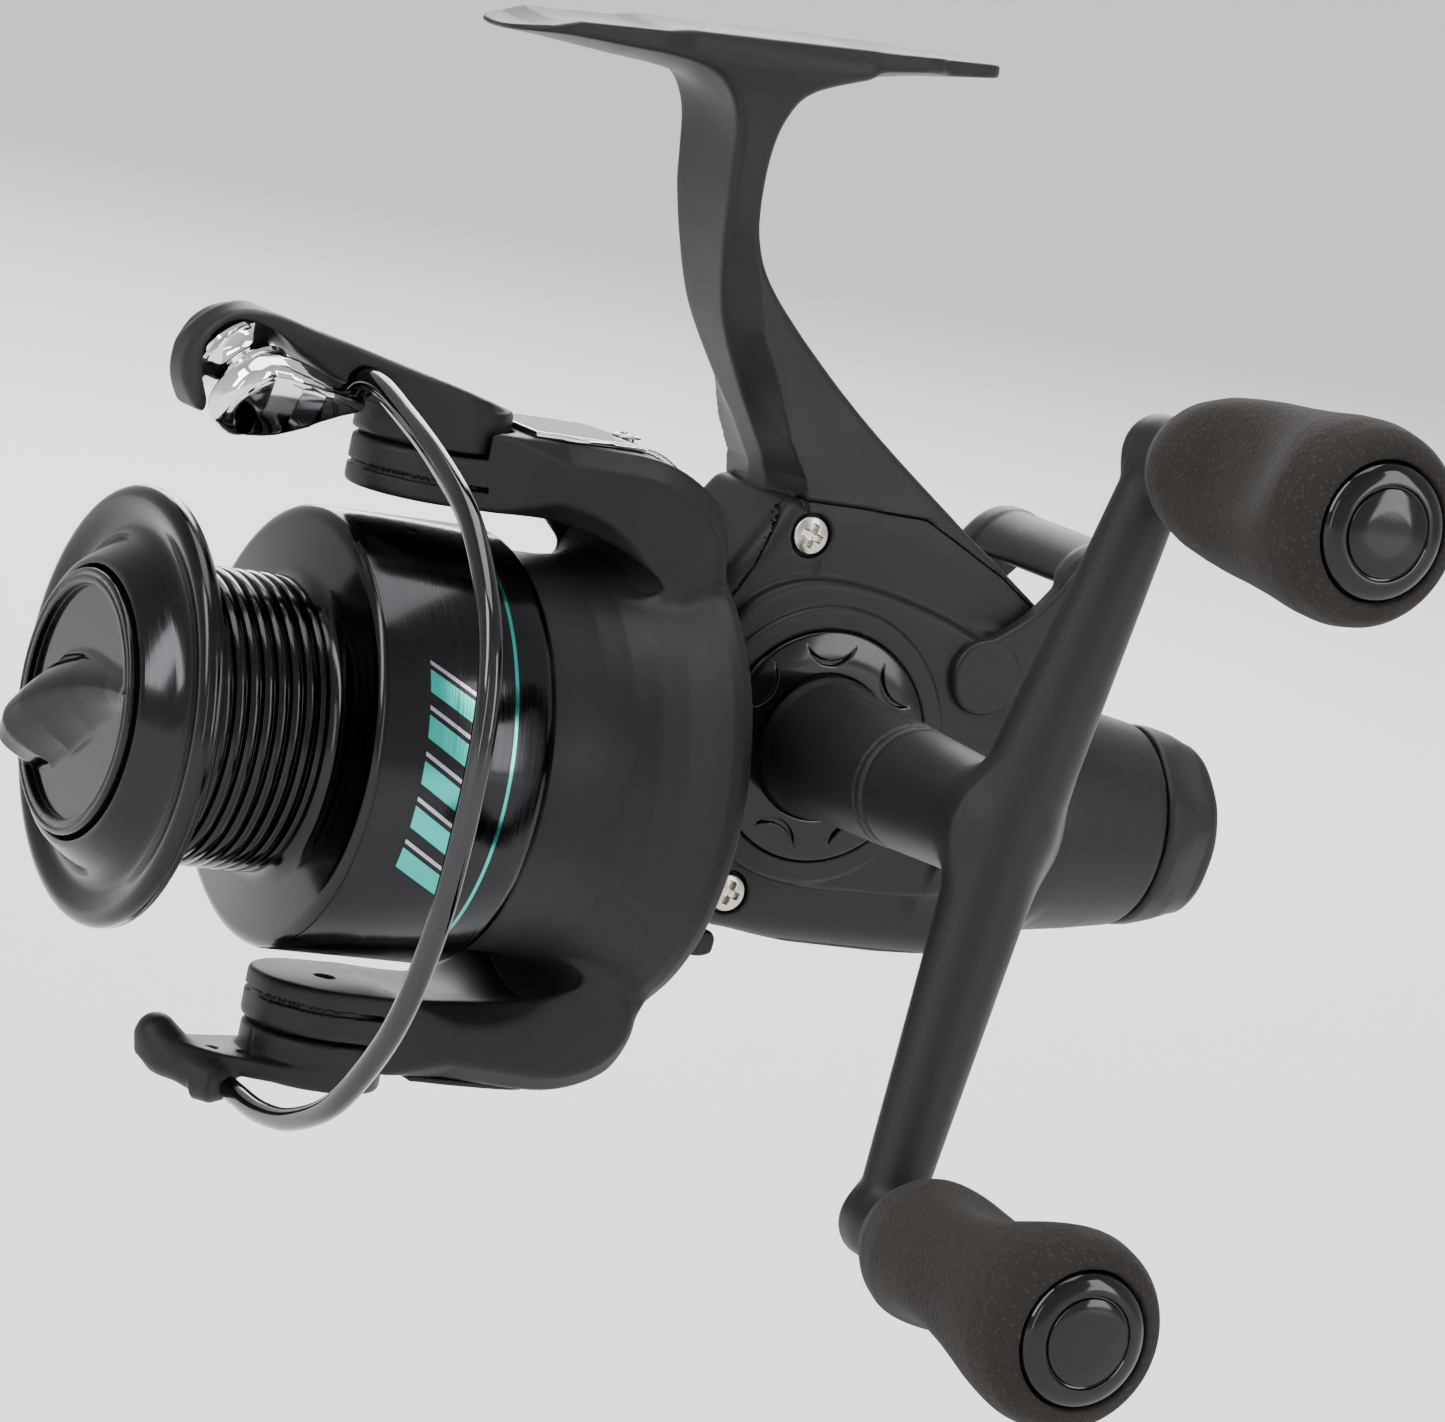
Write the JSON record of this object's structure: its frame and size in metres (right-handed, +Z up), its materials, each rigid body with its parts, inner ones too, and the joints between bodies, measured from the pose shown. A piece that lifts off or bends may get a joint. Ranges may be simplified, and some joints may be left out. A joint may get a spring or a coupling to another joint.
{
  "type": "spinning reel",
  "caption": "Free-spool spinning reel with a double crank, wire bail, front drag knob on the spool and a rear drag knob, hung from its foot.",
  "frame": {"origin": "centre of the foot's seat, the face that lies against the rod", "axes": "+X to the rear along the spool axis, which lies 90.5 mm below the origin; +Z up to the rod; the handle stands on the -Y side"},
  "size_m": [0.1604, 0.1409, 0.1434],
  "materials": {
    "body_coat": "soft-touch matte black",
    "gloss_trim": "gloss black",
    "foam": "closed-cell foam, fine speckle",
    "black_anodised": "gloss black anodised, fine turning lines",
    "gloss_black": "gloss black",
    "bright_chrome": "mirror chrome",
    "black_nickel": "dark polished plating",
    "nickel_screw": "nickel plate",
    "bearing_steel": "ground steel",
    "spring_steel": "drawn wire",
    "brass": "machined",
    "cast_zinc": "cast and cut",
    "acetal": "moulded, slightly waxy",
    "friction_disc": "pressed fibre and steel discs"
  },
  "bodies": {
    "frame": {"main_body": "body_coat", "side_cover": "body_coat", "cover_screws": "nickel_screw", "trim_disc": "gloss_trim", "far_cap": "body_coat", "near_bearing": "bearing_steel", "far_bearing": "bearing_steel", "pinion_bearing": "bearing_steel", "one_way_clutch": "brass", "guide_rod": "bearing_steel", "bait_drum": "brass", "bait_washers": "friction_disc", "rear_spring": "spring_steel", "lever_pin": "bearing_steel"},
    "handle": {"handle_shaft": "bearing_steel", "drive_gear": "cast_zinc", "shaft_collar": "body_coat", "handle_crank": "body_coat", "knob_posts": "bearing_steel"},
    "upper_knob": {"upper_grip": "foam", "upper_core": "acetal", "upper_cap": "gloss_trim"},
    "lower_knob": {"lower_grip": "foam", "lower_core": "acetal", "lower_cap": "gloss_trim"},
    "rotor": {"rotor_frame": "body_coat", "pinion": "brass", "rotor_nut": "nickel_screw", "arm_cover": "bright_chrome", "lower_arm_cover": "body_coat", "arm_screws": "nickel_screw", "bail_spring": "spring_steel", "bail_screws": "nickel_screw"},
    "bail": {"bail_arm": "body_coat", "bail_lever": "body_coat", "bail_wire": "black_nickel", "wire_cone": "bright_chrome"},
    "roller": {"line_roller": "bright_chrome"},
    "carriage": {"main_shaft": "bearing_steel", "crosswind_block": "acetal", "click_gear": "acetal"},
    "spool": {"spool": "black_anodised", "spool_bush": "brass", "drag_washers": "friction_disc"},
    "drag_knob": {"drag_knob": "gloss_black", "drag_nut": "brass", "drag_spring": "spring_steel"},
    "oscillator": {"oscillation_gear": "cast_zinc"},
    "rear_knob": {"rear_knob": "body_coat", "rear_screw": "nickel_screw"},
    "free_spool_lever": {"free_spool_lever": "body_coat"},
    "anti_reverse_lever": {"anti_reverse_lever": "body_coat"}
  },
  "joints": [
    {"name": "handle_turn", "type": "hinge", "parent": "frame", "child": "handle", "pos_m": [0.0216, 0, -0.0829], "axis": [0, 1, 0], "continuous": true},
    {"name": "rotor_turn", "type": "hinge", "parent": "frame", "child": "rotor", "pos_m": [0.0216, 0, -0.0905], "axis": [1, 0, 0], "continuous": true},
    {"name": "oscillator_turn", "type": "hinge", "parent": "frame", "child": "oscillator", "pos_m": [0.0381, 0, -0.0925], "axis": [0, 1, 0], "continuous": true},
    {"name": "spool_stroke", "type": "slide", "parent": "frame", "child": "carriage", "axis": [1, 0, 0], "range_m": [-0.007, 0.007]},
    {"name": "spool_slip", "type": "hinge", "parent": "carriage", "child": "spool", "pos_m": [-0.0484, 0, -0.0905], "axis": [1, 0, 0], "continuous": true},
    {"name": "drag_knob_turn", "type": "hinge", "parent": "carriage", "child": "drag_knob", "pos_m": [-0.0684, 0, -0.0905], "axis": [1, 0, 0], "range_deg": [-540, 540]},
    {"name": "rear_knob_turn", "type": "hinge", "parent": "frame", "child": "rear_knob", "pos_m": [0.0786, 0, -0.0905], "axis": [1, 0, 0], "range_deg": [-360, 360]},
    {"name": "free_spool_swing", "type": "hinge", "parent": "frame", "child": "free_spool_lever", "pos_m": [0.0431, 0, -0.072], "axis": [0, 1, 0], "range_deg": [0, 28]},
    {"name": "anti_reverse_swing", "type": "hinge", "parent": "frame", "child": "anti_reverse_lever", "pos_m": [0.0096, 0, -0.103], "axis": [1, 0, 0], "range_deg": [0, 26]},
    {"name": "bail_swing", "type": "hinge", "parent": "rotor", "child": "bail", "pos_m": [-0.0314, 0, -0.0905], "axis": [0, 0, -1], "range_deg": [0, 105]},
    {"name": "roller_turn", "type": "hinge", "parent": "bail", "child": "roller", "pos_m": [-0.057, 0.0005, -0.0487], "axis": [0.341, -0.7822, -0.5215], "continuous": true},
    {"name": "upper_knob_turn", "type": "hinge", "parent": "handle", "child": "upper_knob", "pos_m": [0.02975, -0.088, -0.0363], "axis": [0, 1, 0], "continuous": true},
    {"name": "lower_knob_turn", "type": "hinge", "parent": "handle", "child": "lower_knob", "pos_m": [0.01345, -0.088, -0.1295], "axis": [0, 1, 0], "continuous": true}
  ],
  "couplings": [
    {"joint": "rotor_turn", "follows": "handle_turn", "ratio": -5.2},
    {"joint": "oscillator_turn", "follows": "handle_turn", "ratio": -0.5}
  ]
}
